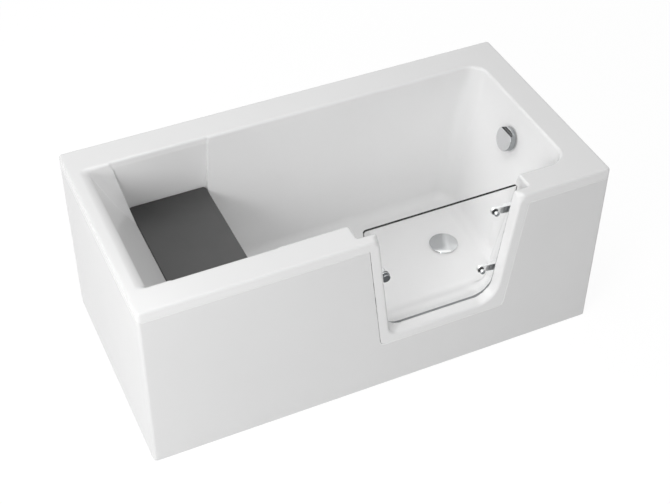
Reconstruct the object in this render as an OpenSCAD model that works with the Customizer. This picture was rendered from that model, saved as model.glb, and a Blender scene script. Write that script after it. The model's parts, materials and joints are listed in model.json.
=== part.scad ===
// Walk-in bathtub with a glass door, a lift-out seat and a pop-up waste.
// Millimetres. X runs along the bath to the waste end, Y to the wall side, Z up.
// The origin is on the floor, under the middle of the bath.

/* [Bath] */
// Length of the bath over its rim
bath_l = 1500; // [1450:10:1600]
// Width of the bath over its rim
bath_w = 750; // [730:5:800]
// Height of the rim above the floor of the room
bath_h = 620; // [610:5:640]
// Plan radius of the four outer corners
plan_r = 12; // [8:1:20]
// Thickness of the reinforced acrylic shell
skin = 6; // [5:0.5:8]
// Depth of the turned-down lip of the rim
lip_h = 34; // [28:1:42]
// Radius of the outer edge of the rim
edge_r = 7; // [4:1:10]

/* [Rim widths] */
// Rim along the wall side
rim_back = 99; // [94:1:110]
// Rim along the door side
rim_front = 87; // [82:1:96]
// Rim at the backrest end
rim_left = 30; // [28:1:40]
// Rim at the waste end
rim_right = 88; // [84:1:105]

/* [Basin] */
// Height of the inside floor above the floor of the room
floor_z = 135; // [130:1:145]
// Fillet between the floor and the walls
floor_r = 50; // [35:1:60]
// Rolled edge where the walls meet the rim
roll_r = 9; // [6:1:12]
// Rolled edge at the top of the backrest
roll_back_r = 40; // [25:1:50]
// Lean of the two long walls
side_lean = 6.6; // [5:0.1:8]
// Lean of the waste end wall
end_lean = 14.6; // [12:0.1:18]
// Lean of the backrest
back_lean = 31.8; // [29:0.1:33]
// Plan radius of the corners at the waste end
corner_r = 55; // [40:1:70]
// Plan radius of the corners beside the backrest
back_corner_r = 14; // [10:1:25]

/* [Doorway] */
// Distance from the middle of the doorway to the waste end of the rim
way_end = 545; // [535:1:555]
// Width of the doorway at the sill
way_w = 358; // [330:1:370]
// Height of the sill above the floor of the room
sill_z = 213; // [205:1:225]
// Lean of each jamb
jamb_lean = 6.8; // [5.5:0.1:7.5]
// Thickness of the wall round the doorway
door_wall = 36; // [32:1:40]
// Radius of the lower corners of the doorway
way_r = 58; // [40:1:70]
// Fillet round the outer edge of the doorway
way_edge_r = 9; // [6:1:11]
// Radius where each jamb turns over onto the rim
way_top_r = 20; // [15:1:26]
// Width of the moulded frame that shows round the doorway
frame_band = 33; // [28:1:38]
// Groove between the shell and its panels
groove = 2; // [1:0.5:3]

/* [Door leaf] */
// Thickness of the glass
glass_t = 8; // [6:0.5:10]
// Overlap of the leaf on the latch side
lap_latch = 30; // [27:1:34]
// Overlap of the leaf on the hinge side
lap_hinge = 22; // [20:1:25]
// Overlap of the leaf at the sill
lap_sill = 23; // [20:1:28]
// Space left round the leaf in its recess
leaf_gap = 27; // [25:1:32]
// Radius of the lower corners of the leaf
leaf_r = 100; // [70:1:110]
// Compressed depth of the seal between the wall and the glass
seal_t = 14; // [12:1:16]
// Width of the seal
seal_w = 9; // [7:1:12]
// Distance from the edge of the doorway to the seal
seal_set = 6; // [4:1:8]

/* [Hinges] */
// Depth of the upper hinge's clamp below the rim
hinge_drop = 86; // [75:1:100]
// Height of the lower hinge's clamp above the sill
hinge_rise = 92; // [77:1:107]
// Height of a hinge arm
arm_h = 25; // [22:1:28]
// Distance from the edge of the leaf in to the clamp
clamp_in = 56; // [50:1:62]
// Distance from the edge of the leaf out to the hinge pin
pin_out = 17; // [16:0.5:18]
// Diameter of the hinge pin
pin_d = 6; // [5:0.5:7]
// Diameter of the knuckle round the pin
knuckle_d = 14; // [12:0.5:15]
// Height of each bracket ear
ear_h = 8; // [6:0.5:10]

/* [Latch] */
// Depth of the latch knob below the rim
latch_drop = 204; // [190:1:220]
// Distance from the edge of the leaf in to the latch
latch_in = 49; // [46:1:54]
// Diameter of the outer knob
knob_d = 28; // [24:1:30]
// Length of the outer knob
knob_l = 13; // [10:1:14]
// Diameter of the inner grip
grip_d = 25; // [22:1:28]
// Length of the inner grip
grip_l = 17; // [14:1:22]
// Diameter of the spindle through the glass
spindle_d = 10; // [8:0.5:12]
// Length of the latch tongue
tongue_l = 65; // [62:1:68]
// Width of the latch tongue
tongue_w = 12; // [10:1:14]
// Resting angle of the tongue from straight down
tongue_rest = 35; // [25:1:40]

/* [Seat] */
// Height of the top of the seat
seat_z = 430; // [420:1:440]
// Length of the seat along the bath
seat_l = 257; // [230:1:258]
// Thickness of the seat board
seat_t = 22; // [18:1:26]
// Thickness of the rubber pads under the seat
pad_t = 3; // [2:0.5:4]
// Lean of the recess's edge beside the backrest
ledge_lean = 10.8; // [9:0.1:12]
// Corner radius of the seat
seat_r = 12; // [8:1:20]

/* [Waste and overflow] */
// Distance from the waste to the waste end of the rim
waste_end = 343; // [335:1:355]
// Diameter of the waste cover
cover_d = 96; // [85:1:100]
// Travel of the waste plug
plug_lift = 8; // [6:0.5:10]
// Depth of the overflow's middle below the rim
over_drop = 109; // [100:1:125]
// Diameter of the overflow knob
over_d = 80; // [70:1:84]
// Depth of the overflow knob
over_t = 27; // [24:1:30]
// Outer diameter of the overflow pipe
pipe_d = 32; // [30:1:40]
// Wall of the pipes
pipe_wall = 2.5; // [2:0.5:3]
// Outer diameter of the outlet to the drain
outlet_d = 50; // [40:1:50]

/* [Panels and frame] */
// Thickness of the panels
panel_t = 4; // [3:0.5:5]
// Side of the square steel tube
tube = 25; // [20:1:30]
// Wall of the steel tube
tube_wall = 2; // [1.5:0.5:3]
// Thickness of the base board under the floor
board_t = 16; // [12:1:18]
// Diameter of the foot stud
stud_d = 12; // [10:1:14]
// Diameter of the foot pad
foot_d = 48; // [40:1:60]

/* [Hidden] */
$fn = 64;

white = [0.96, 0.96, 0.96];
steel = [0.62, 0.64, 0.66];
chrome = [0.75, 0.77, 0.8];
rubber = [0.08, 0.08, 0.08];
plastic = [0.82, 0.83, 0.84];

arc_n = 6;               // straight steps in each rounded corner
slack = 0.3;             // clearance between faces that meet at rest
run_fit = 0.05;          // radial clearance of a turning fit
face_y = -bath_w/2;      // outer face of the door side
flange_y = face_y + door_wall;
way_x = bath_l/2 - way_end;              // middle of the doorway
waste_x = bath_l/2 - waste_end;          // waste, trap and cover
overflow_z = bath_h - over_drop;
hinge_hi = bath_h - hinge_drop;          // clamp heights
hinge_lo = sill_z + hinge_rise;
latch_z = bath_h - latch_drop;
x_left = -bath_l/2 + rim_left;
x_right = bath_l/2 - rim_right;
y_front = face_y + rim_front;
y_back = bath_w/2 - rim_back;
lip_z = bath_h - lip_h;
lean_t = tan(jamb_lean);
recess_floor = floor_z + 15;             // lower edge of the recess for the leaf
recess_r = 60;                           // lower corners of that recess
frame_r = 16;                            // lower corners of the moulded frame

// Leaf, hinge and latch places
glass_y = flange_y + seal_t;             // outer face of the glass
glass_in = glass_y + glass_t;            // inner face of the glass
gasket_t = 1.5;
arm_t = 15;
arm_y = glass_in + gasket_t;
pin_y = glass_in + gasket_t + 6.5;       // hinge axis, clear of the glass
leaf_z = sill_z - lap_sill;              // lower edge of the leaf
function jamb_l(z) = way_x - way_w/2 - (z - sill_z)*lean_t;
function jamb_r(z) = way_x + way_w/2 + (z - sill_z)*lean_t;
function leaf_left(z) = jamb_l(z) - lap_latch;
function leaf_right(z) = jamb_r(z) + lap_hinge;
arm_run = (clamp_in + pin_out)*cos(jamb_lean);   // clamp to pin, along the arm
latch_x = leaf_left(latch_z) + latch_in;
bush_flange = 2;
tongue_t = 4;
tongue_y = glass_in + bush_flange + slack;

// Waste end wall
end_t = tan(end_lean);
over_x = x_right - roll_r*tan((90 - end_lean)/2) - (bath_h - overflow_z)*end_t;
y_mid = (y_front + y_back)/2;
under_z = floor_z - skin;                // underside of the shell's floor

// Steel frame
rail_z = under_z - board_t - tube;
bar_z = rail_z - tube;
post_x = bath_l/2 - 50;
post_y = bath_w/2 - 45;
bar_mid = -60;                           // middle crossbar
bar_x = [-post_x, bar_mid, post_x];
rail_y = 150;
batten_t = 18;
batten_z = bath_h - skin - batten_t;

// A point list with each corner rounded to its own radius
function corner(a, b, c, r) =
    let(u = (a - b)/norm(a - b), v = (c - b)/norm(c - b),
        half = acos(u*v)/2,
        mid = b + (u + v)/norm(u + v)*r/sin(half),
        p = b + u*r/tan(half) - mid, q = b + v*r/tan(half) - mid,
        a0 = atan2(p[1], p[0]), turn = atan2(p[0]*q[1] - p[1]*q[0], p*q))
    [for (i = [0:arc_n]) mid + r*[cos(a0 + turn*i/arc_n), sin(a0 + turn*i/arc_n)]];
function rounded(pts, radii) =
    let(n = len(pts))
    [for (i = [0:n - 1])
        for (p = radii[i] > 0 ? corner(pts[(i + n - 1)%n], pts[i], pts[(i + 1)%n], radii[i]) : [pts[i]]) p];

// A closed skin through rings of equally many points, each counterclockwise seen from the last one
module loft(rings) {
    n = len(rings[0]);
    m = len(rings);
    sides = [for (k = [0:m - 2]) for (i = [0:n - 1])
        let(a = k*n + i, b = k*n + (i + 1)%n) each [[a, a + n, b], [b, a + n, b + n]]];
    caps = [[for (i = [0:n - 1]) i], [for (i = [0:n - 1]) m*n - 1 - i]];
    polyhedron([for (r = rings) each r], concat(sides, caps), convexity = 6);
}

// Ring in plan: sides at x0, x1, y0, y1 with left and right corner radii
function plan_ring(x0, x1, y0, y1, rl, rr, z) =
    [for (p = rounded([[x0, y0], [x1, y0], [x1, y1], [x0, y1]], [rl, rr, rr, rl])) [p[0], p[1], z]];

// Run of a wall past its foot at height h, for a floor fillet r and a lean a
function foot_run(h, r, a) =
    let(turn = h < r ? acos(1 - h/r) : 90)
    turn < 90 - a ? r*(sin(turn) - tan((90 - a)/2)) : h*tan(a);
// Extra width of a rolled top edge at depth d below the rim
function roll_run(d, r, a) =
    let(turn = d < r ? acos(1 - d/r) : 90)
    turn < 90 - a ? r*(tan((90 - a)/2) - sin(turn)) : -d*tan(a);

// Side of the basin against its edge on the rim: g = 0 inside, g = skin outside
function wall_run(z, a, roll, g) =
    (z < floor_z + floor_r + skin
        ? foot_run(z - floor_z + g, floor_r + g, a) - (bath_h - floor_z + g)*tan(a)
        : roll_run(bath_h - z, roll, a)) + g/cos(a) - roll*tan((90 - a)/2);
function basin_ring(z, g) =
    let(turn = acos(1 - min((z - floor_z + g)/(floor_r + g), 1)),
        cut = floor_r*(1 - sin(turn)), zz = min(z, bath_h))
    plan_ring(x_left - wall_run(zz, back_lean, roll_back_r, g),
              x_right + wall_run(zz, end_lean, roll_r, g),
              y_front - wall_run(zz, side_lean, roll_r, g),
              y_back + wall_run(zz, side_lean, roll_r, g),
              max(back_corner_r + g - cut, 6 + g), max(corner_r + g - cut, 10 + g), z);
function foot_levels(g) =
    [for (t = [0, 15, 30, 45, 90 - back_lean, 90 - end_lean, 90 - side_lean])
        floor_z - g + (floor_r + g)*(1 - cos(t))];
roll_depth = roll_back_r*(1 - sin(back_lean));
roll_levels = [for (f = [1, 0.7, 0.45, 0.25, 0.1, 0.02, 0]) bath_h - f*roll_depth];

// Doorway seen from the front, grown by g, with the turned-over tops of the jambs
function way_pts(g) =
    let(k = g/cos(jamb_lean), top = bath_h + 1, out = 45, zs = sill_z - g)
    rounded([[jamb_l(bath_h) - out, top + 4], [jamb_l(bath_h) - out, top], [jamb_l(top) - k, top],
             [jamb_l(zs) - k, zs], [jamb_r(zs) + k, zs],
             [jamb_r(top) + k, top], [jamb_r(bath_h) + out, top], [jamb_r(bath_h) + out, top + 4]],
            [0, 0, way_top_r - g, way_r + g, way_r + g, way_top_r - g, 0, 0]);
// Leaning outline with straight tops: sides at xl(z), xr(z) grown by g, foot at z0, top at z1
function lean_pts(l0, r0, z0, z1, g, r, rt) =
    let(k = g/cos(jamb_lean), b = z0 - g)
    rounded([[l0 - (z1 - z0)*lean_t - k, z1], [l0 + g*lean_t - k, b],
             [r0 - g*lean_t + k, b], [r0 + (z1 - z0)*lean_t + k, z1]], [rt, r, r, rt]);
function on_front(pts, y) = [for (p = pts) [p[0], y, p[1]]];
function leaf_pts(g) = lean_pts(leaf_left(leaf_z), leaf_right(leaf_z), leaf_z, bath_h, g, leaf_r + g, 8);
function recess_pts(g, top) =
    lean_pts(leaf_left(recess_floor) - leaf_gap, leaf_right(recess_floor) + leaf_gap,
             recess_floor, top, g, recess_r + g, 0);
function frame_pts(g, top) =
    lean_pts(jamb_l(sill_z) - frame_band, jamb_r(sill_z) + frame_band,
             sill_z - frame_band, top, g, frame_r + g, 0);
// Prism of a front outline from y0 to y1
module front_prism(pts, y0, y1) {
    translate([0, y1, 0]) rotate([90, 0, 0]) linear_extrude(y1 - y0) polygon(pts);
}

// Recess for the seat in both long walls, seen from the front, grown by g
ledge_z = seat_z - seat_t - pad_t;
recess_in = 3;                           // from the rim's rolled edge to the recess for the seat
ledge_draft = 0.08;                      // run per rise of the recess on the side away from the backrest
seat_x0 = x_left + roll_back_r*tan((90 - back_lean)/2) + (bath_h - seat_z)*tan(back_lean) + slack;
seat_x1 = seat_x0 + seat_l;
function ledge_pts(g, top) =
    let(lt = tan(ledge_lean), z0 = ledge_z - g, k = g/cos(ledge_lean),
        l0 = seat_x0 - slack - k, r0 = seat_x1 + slack + 2 + k)
    [[l0 - (top - seat_z)*lt, top], [l0, seat_z], [l0, z0],
     [r0 - (seat_z - z0)*ledge_draft, z0], [r0 + (top - seat_z)*ledge_draft, top]];

// Rim: a top plate with a turned-down lip and a rounded outer edge
module rim() {
    hl = bath_l/2;
    hw = bath_w/2;
    difference() {
        loft(concat([plan_ring(-hl, hl, -hw, hw, plan_r, plan_r, lip_z)],
            [for (t = [0:18:90]) let(e = edge_r*(1 - cos(t)))
                plan_ring(-hl + e, hl - e, -hw + e, hw - e, plan_r - e, plan_r - e,
                          bath_h - edge_r + edge_r*sin(t))]));
        loft([for (z = [lip_z - 1, bath_h - skin])
            plan_ring(-hl + skin, hl - skin, -hw + skin, hw - skin, plan_r - skin/2, plan_r - skin/2, z)]);
    }
}

// Doorway cutter: straight reveal with a fillet onto the outer face
module way_cut() {
    loft([for (p = concat([[flange_y + 4, 0], [face_y + way_edge_r, 2]],
            [for (t = [22.5:22.5:90]) [face_y + way_edge_r*(1 - sin(t)), 2 + way_edge_r*(1 - cos(t))]],
            [[face_y - 1, 2 + way_edge_r]])) on_front(way_pts(p[1]), p[0])]);
}

overflow_bore = 52;
waste_bore = 64;
// Places a child on the waste end wall: +Z points into the basin
module at_overflow(out = 0) {
    translate([over_x, y_mid, overflow_z]) rotate([0, -90 + end_lean, 0]) translate([0, 0, out]) children();
}
module at_waste(z) { translate([waste_x, y_mid, z]) children(); }

module bath_shell() color(white) {
    recess_open = 90;                    // the recess runs out into the basin's foot
    difference() {
        union() {
            rim();
            loft(concat([for (z = foot_levels(skin)) basin_ring(z, skin)],
                        [for (z = [bath_h - roll_depth, bath_h - skin/2]) basin_ring(z, skin)]));
            front_prism(recess_pts(skin, bath_h - skin/2), flange_y - skin, y_front + recess_open);
            front_prism(ledge_pts(skin, bath_h - skin/2),
                        y_front + recess_in - skin, y_back - recess_in + skin);
            front_prism(frame_pts(0, bath_h - skin/2), face_y, flange_y - 1);
        }
        loft(concat([for (z = concat(foot_levels(0), roll_levels, [bath_h + 3])) basin_ring(z, 0)]));
        front_prism(recess_pts(0, bath_h + 2), flange_y, y_front + recess_open);
        front_prism(ledge_pts(0, bath_h + 2), y_front + recess_in, y_back - recess_in);
        way_cut();
        at_waste(floor_z - skin - 10) cylinder(d = waste_bore, h = skin + 20);
        at_overflow(-30) cylinder(d = overflow_bore, h = 60);
    }
}
bath_shell();

// Panels: a sheet in the rim's outline, down to the floor of the room
module casing(z0, z1, t = panel_t) {
    hl = bath_l/2;
    hw = bath_w/2;
    difference() {
        translate([0, 0, z0]) linear_extrude(z1 - z0)
            polygon(rounded([[-hl, -hw], [hl, -hw], [hl, hw], [-hl, hw]], plan_r*[1, 1, 1, 1]));
        translate([0, 0, z0 - 1]) linear_extrude(z1 - z0 + 2)
            polygon(rounded([[-hl + t, -hw + t], [hl - t, -hw + t], [hl - t, hw - t], [-hl + t, hw - t]],
                            (plan_r - t)*[1, 1, 1, 1]));
    }
}
panel_top = lip_z - groove;
panel_return = 22;                       // front panel's turn round each corner
panel_in = 30;                           // from the panel's corners to its stiffeners
panel_foot = 24;                         // foot flange of a panel
upstand_h = 18;
end_gap = 0.5;                           // joint between the two panels
end_short = 0.8;                         // end panel below the lip
end_rib = 14;                            // stiffener half way up the end panel
flange_t = 3;
upstand_y = face_y + skin + slack;       // upstand of the panel behind the lip
bar_end = post_y + tube/2 + 6;           // half length of a crossbar

// The front panel turns both corners and steps back behind the lip of the rim
module front_panel() color(white) {
    stiff_l = bath_l - 2*panel_in;
    difference() {
        union() {
            intersection() {
                casing(0, panel_top);
                translate([-bath_l, face_y - 1, -1]) cube([2*bath_l, panel_return + 1, bath_h]);
            }
            translate([-stiff_l/2, face_y + 1, panel_top - flange_t])
                cube([stiff_l, skin + flange_t - 1, flange_t]);
            translate([-stiff_l/2, upstand_y, panel_top - flange_t])
                cube([stiff_l, flange_t, upstand_h]);
            translate([-stiff_l/2, face_y + 1, 0])
                cube([stiff_l, panel_foot, flange_t]);
        }
        front_prism(frame_pts(groove, bath_h), face_y - 2, flange_y);
    }
}
front_panel();

// The end panel closes the backrest end, against the front panel's return
module end_panel() color(white) {
    y0 = face_y + panel_return + end_gap;
    run = bath_w - 2*panel_return;
    intersection() {
        casing(0, lip_z - end_short);
        translate([-bath_l/2 - 1, y0, -1]) cube([panel_return + 1, bath_w, bath_h]);
    }
    translate([-bath_l/2 + 1, y0, 0]) cube([panel_foot, run, flange_t]);
    translate([-bath_l/2 + panel_t - 1, y0, panel_top/2]) cube([end_rib, run, flange_t]);
}
end_panel();

// Board bonded under the floor, with a hole round the waste
board_x0 = x_left + (bath_h - floor_z)*tan(back_lean) + 25;
board_x1 = x_right - (bath_h - floor_z)*end_t - 35;
module base_board() color("burlywood") {
    difference() {
        translate([board_x0, y_mid - rail_y - tube, under_z - board_t])
            cube([board_x1 - board_x0, 2*(rail_y + tube), board_t]);
        at_waste(under_z - board_t - 1) cylinder(d = cover_d + 24, h = board_t + 2);
    }
}
base_board();

// Battens bonded under the rim, where the bath is fixed to the wall and stands on its posts
batten_w = 50;
module rim_battens() color("burlywood") {
    x_end = bath_l/2 - skin - 2;
    back_y = bath_w/2 - skin - 4 - batten_w;
    front_y = face_y + skin + 8;
    way_left = leaf_left(bath_h) - leaf_gap - skin - 12;
    way_right = leaf_right(bath_h) + leaf_gap + skin + 12;
    translate([-x_end, back_y, batten_z]) cube([2*x_end, batten_w, batten_t]);
    translate([-x_end, front_y, batten_z]) cube([way_left + x_end, batten_w, batten_t]);
    translate([way_right, front_y, batten_z]) cube([x_end - way_right, batten_w, batten_t]);
    translate([x_end - batten_w, front_y + batten_w + slack, batten_z])
        cube([batten_w, back_y - front_y - batten_w - 2*slack, batten_t]);
}
rim_battens();

// Square tube of length len along X
module square_tube(len) {
    difference() {
        translate([0, -tube/2, 0]) cube([len, tube, tube]);
        translate([-1, -tube/2 + tube_wall, tube_wall])
            cube([len + 2, tube - 2*tube_wall, tube - 2*tube_wall]);
    }
}
rail_end = post_x + tube/2;
module frame_rails() color(steel) {
    for (s = [-1, 1]) translate([-rail_end, s*rail_y, rail_z]) square_tube(2*rail_end);
}
frame_rails();

module at_feet() {
    for (x = bar_x, s = [-1, 1]) translate([x, s*(post_y - 40), 0]) children();
}
module frame_crossbars() color(steel) {
    difference() {
        for (x = bar_x) translate([x, -bar_end, bar_z]) rotate([0, 0, 90]) square_tube(2*bar_end);
        at_feet() translate([0, 0, bar_z - 1]) cylinder(d = stud_d + 1, h = tube + 2);
    }
}
frame_crossbars();

module rim_posts() color(steel) {
    for (x = [-post_x, post_x], s = [-1, 1])
        translate([x - tube/2, s*post_y, rail_z])
            difference() {
                translate([0, -tube/2, 0]) cube([tube, tube, batten_z - rail_z]);
                translate([tube_wall, -tube/2 + tube_wall, -1])
                    cube([tube - 2*tube_wall, tube - 2*tube_wall, batten_z - rail_z + 2]);
            }
}
rim_posts();

// Levelling feet: a pad with a threaded stud through each crossbar
pad_h = 14;
nut_h = 9;
module levelling_feet() color(plastic) {
    at_feet() {
        rotate_extrude() polygon([[0, 0], [foot_d/2, 0], [foot_d/2, 4], [stud_d/2 + 4, pad_h], [0, pad_h]]);
        translate([0, 0, pad_h - 1]) cylinder(d = stud_d, h = rail_z + nut_h + 5 - pad_h);
    }
}
levelling_feet();

// Nuts below and above the crossbar
module foot_locknuts() color(steel) {
    at_feet() for (z = [bar_z - nut_h, rail_z]) translate([0, 0, z]) difference() {
        cylinder(d = stud_d*1.8, h = nut_h, $fn = 6);
        translate([0, 0, -1]) cylinder(d = stud_d, h = nut_h + 2);
    }
}
foot_locknuts();

// Clips on the crossbar ends that hold the foot of the front panel
clip_w = 24;
clip_t = 2;
clip_in = 30;                            // clips at the ends stand in from the crossbar's middle
module panel_clips() color(steel) {
    foot_y = face_y + panel_t + slack;
    for (i = [0:2]) translate([bar_x[i] - clip_w/2 + (1 - i)*clip_in, 0, 0]) {
        translate([0, -bar_end - clip_t, flange_t]) cube([clip_w, clip_t, bar_z + tube/2 - flange_t]);
        translate([0, foot_y, flange_t]) cube([clip_w, -bar_end - foot_y, clip_t]);
    }
}
panel_clips();

// Seal on the wall face round the doorway; the closed leaf presses on it
module door_seal() color(rubber) {
    grow = seal_set + seal_w;
    difference() {
        front_prism(lean_pts(jamb_l(sill_z), jamb_r(sill_z), sill_z, bath_h - skin, grow, way_r + grow, 0),
                    flange_y, glass_y - slack);
        front_prism(lean_pts(jamb_l(sill_z), jamb_r(sill_z), sill_z, bath_h + 2,
                             seal_set, way_r + seal_set, 0),
                    flange_y - 1, glass_y + 1);
    }
}
door_seal();

// Hinges lie square to the leaning edge of the leaf. Their own frame has +Z along the pin,
// its origin on the pin at arm height, and the leaf towards -X.
function pin_z(z) = z - arm_run*sin(jamb_lean);
module at_hinge(z) {
    translate([leaf_right(pin_z(z)) + pin_out, pin_y, pin_z(z)]) rotate([0, jamb_lean, 0]) children();
}
module at_clamps() {
    for (z = [hinge_hi, hinge_lo]) at_hinge(z) translate([-arm_run, 0, 0]) rotate([90, 0, 0]) children();
}
clamp_d = 16;
clamp_l = 9;
bolt_d = 8;
glass_hole = bolt_d + 4;

module door_glass() color([0.8, 0.9, 0.88, 0.35]) {
    difference() {
        front_prism(leaf_pts(0), glass_y, glass_in);
        at_clamps() cylinder(d = glass_hole, h = 100, center = true);
        at_latch() translate([0, 0, -glass_t - 1]) cylinder(d = bush_d, h = glass_t + 2);
    }
}
door_glass();

// Arm: a bar with a round end at the clamp and a knuckle on the pin
block_l = 28;
module hinge_arm() color(chrome) {
    y0 = arm_y - pin_y;
    difference() {
        union() {
            translate([-arm_run, y0, 0]) rotate([-90, 0, 0]) cylinder(d = arm_h, h = arm_t/2);
            translate([-arm_run, y0, -arm_h/2]) cube([arm_run - block_l + 1, arm_t/2, arm_h]);
            translate([-block_l - 16, y0, -arm_h/2]) cube([block_l + 16 - knuckle_d/2 + 2, arm_t, arm_h]);
            translate([0, 0, -arm_h/2]) cylinder(d = knuckle_d, h = arm_h);
        }
        cylinder(d = pin_d + 2*run_fit, h = 2*arm_h, center = true);
        translate([-arm_run, y0 - 1, 0]) rotate([-90, 0, 0]) cylinder(d = bolt_d, h = arm_t);
    }
}
// Bracket: a plate on the wall face with two ears over and under the knuckle
module hinge_bracket() color(chrome) {
    plate_y = flange_y - pin_y;
    plate_h = arm_h + 2*ear_h + 2;
    plate_x = -pin_out + 3;
    difference() {
        union() {
            translate([plate_x, plate_y, -plate_h/2]) cube([knuckle_d/2 - plate_x, 5, plate_h]);
            for (s = [-1, 1]) translate([0, 0, s*(arm_h/2 + slack + ear_h/2)]) {
                cylinder(d = knuckle_d, h = ear_h, center = true);
                translate([-knuckle_d/2, plate_y, -ear_h/2]) cube([knuckle_d, -plate_y, ear_h]);
            }
        }
        cylinder(d = pin_d, h = 2*plate_h, center = true);
    }
}
module hinge_pin() color(chrome) {
    pin_l = arm_h + 2*ear_h + 2*slack;
    cylinder(d = pin_d, h = pin_l, center = true);
    for (s = [0, 1]) mirror([0, 0, s]) translate([0, 0, pin_l/2])
        rotate_extrude() polygon([[0, 0], [pin_d/2 + 1.5, 0], [pin_d/2 + 1, 2], [0, 2.5]]);
}
// Clamp: a chrome cap on the outside of the glass with its bolt through glass and arm
module hinge_clamp() color(chrome) {
    face = glass_y - pin_y;
    translate([-arm_run, face, 0]) rotate([90, 0, 0]) {
        translate([0, 0, gasket_t]) rotate_extrude()
            polygon([[0, 0], [clamp_d/2, 0], [clamp_d/2, clamp_l - 2],
                     [clamp_d/2 - 1.5, clamp_l], [0, clamp_l]]);
        translate([0, 0, -glass_t - gasket_t - arm_t/2])
            cylinder(d = bolt_d, h = glass_t + 2*gasket_t + arm_t/2 + 1);
    }
}
// Gaskets between metal and glass, with a sleeve in each hole
module hinge_gaskets() color(rubber) {
    at_clamps() difference() {
        union() {
            translate([0, 0, pin_y - glass_y]) cylinder(d = clamp_d, h = gasket_t);
            translate([0, 0, pin_y - glass_in - gasket_t]) cylinder(d = arm_h - 4, h = gasket_t);
            translate([0, 0, pin_y - glass_in - 0.5]) cylinder(d = glass_hole, h = glass_t + 1);
        }
        cylinder(d = bolt_d, h = 200, center = true);
    }
}
at_hinge(hinge_hi) hinge_bracket();  // upper_hinge_bracket
at_hinge(hinge_hi) hinge_pin();  // upper_hinge_pin
at_hinge(hinge_hi) hinge_arm();  // upper_hinge_arm
at_hinge(hinge_hi) hinge_clamp();  // upper_hinge_clamp
at_hinge(hinge_lo) hinge_bracket();  // lower_hinge_bracket
at_hinge(hinge_lo) hinge_pin();  // lower_hinge_pin
at_hinge(hinge_lo) hinge_arm();  // lower_hinge_arm
at_hinge(hinge_lo) hinge_clamp();  // lower_hinge_clamp
hinge_gaskets();

// Latch: +Z of this frame points out of the bath, from the outer face of the glass
module at_latch() { translate([latch_x, glass_y, latch_z]) rotate([90, 0, 0]) children(); }
bush_d = spindle_d + 6;                  // hole through the glass
collar_d = 33;
knob_z = bush_flange + slack;            // back of the knob
knob_edge = 1.5;
grip_bore = grip_l - 5;                  // depth of the grip's hole
spindle_l = glass_t + bush_flange + slack + tongue_t + grip_bore - 1;   // inwards from the glass
module latch_knob() color(chrome) {
    at_latch() {
        translate([0, 0, knob_z]) rotate_extrude()
            polygon(concat([[0, 0], [knob_d/2 - 3, 0]],
                [for (t = [90:-22.5:0])
                    [knob_d/2 + knob_edge*(sin(t) - 1), knob_l - knob_z + knob_edge*(cos(t) - 1)]],
                [[0, knob_l - knob_z]]));
        translate([0, 0, -spindle_l]) cylinder(d = spindle_d, h = spindle_l + knob_z + 1);
    }
}
module latch_bush() color(rubber) {
    at_latch() difference() {
        union() {
            cylinder(d = collar_d, h = bush_flange);
            translate([0, 0, -glass_t - bush_flange]) cylinder(d = collar_d, h = bush_flange);
            translate([0, 0, -glass_t - 0.5]) cylinder(d = bush_d, h = glass_t + 1);
        }
        translate([0, 0, -50]) cylinder(d = spindle_d + 2*run_fit, h = 100);
    }
}
// Tongue on the inside; turned up level it reaches behind the keep
module latch_tongue() color(chrome) {
    translate([latch_x, tongue_y, latch_z]) rotate([-90, 0, 0]) rotate([0, 0, 90 + tongue_rest])
        difference() {
            union() {
                cylinder(d = 22, h = tongue_t);
                translate([0, -tongue_w/2, 0]) cube([tongue_l - tongue_w/2, tongue_w, tongue_t]);
                translate([tongue_l - tongue_w/2, 0, 0]) cylinder(d = tongue_w, h = tongue_t);
            }
            translate([0, 0, -1]) cylinder(d = spindle_d, h = tongue_t + 2);
        }
}
module latch_grip() color(chrome) {
    translate([latch_x, tongue_y + tongue_t, latch_z]) rotate([-90, 0, 0]) difference() {
        rotate_extrude() polygon([[0, 0], [grip_d/2 - 2, 0], [grip_d/2, 4], [grip_d/2, grip_l - 2],
                                  [grip_d/2 - 2, grip_l], [0, grip_l]]);
        translate([0, 0, -1]) cylinder(d = spindle_d, h = grip_bore + 1);
    }
}
// Keep: an angle on the leaning side of the recess, with an arm behind the tongue
keep_arm = tongue_y + tongue_t + slack;
keep_h = 40;
keep_t = 5;
module latch_keep() color(chrome) {
    side = leaf_left(latch_z) - leaf_gap;
    reach = leaf_gap - 4;
    translate([side, 0, latch_z]) rotate([0, -jamb_lean, 0]) {
        translate([0, tongue_y - tongue_t, -keep_h/2])
            cube([keep_t - 2, keep_arm - tongue_y + tongue_t + 18, keep_h]);
        translate([0, keep_arm, -0.35*keep_h]) cube([reach, keep_t, 0.7*keep_h]);
    }
}
latch_knob();
latch_bush();
latch_tongue();
latch_grip();
latch_keep();

// Seat board: it lies on ledges in the long walls and lifts straight out
seat_gap = 1;
module seat_board() color([0.23, 0.23, 0.24]) {
    w = y_back - y_front - 2*recess_in - 2*seat_gap;
    translate([seat_x0, y_front + recess_in + seat_gap, seat_z - seat_t]) linear_extrude(seat_t)
        polygon(rounded([[0, 0], [seat_l, 0], [seat_l, w], [0, w]], [seat_r, seat_r, seat_r, seat_r]));
}
module seat_pads() color(rubber) {
    ledge_w = 14;
    pad_l = 30;
    for (x = [seat_x0 + pad_l, seat_x0 + seat_l - 2*pad_l],
         y = [y_front + recess_in + seat_gap, y_back - recess_in - seat_gap - ledge_w])
        translate([x, y, ledge_z]) cube([pad_l, ledge_w, pad_t]);
}
seat_board();
seat_pads();

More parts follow.
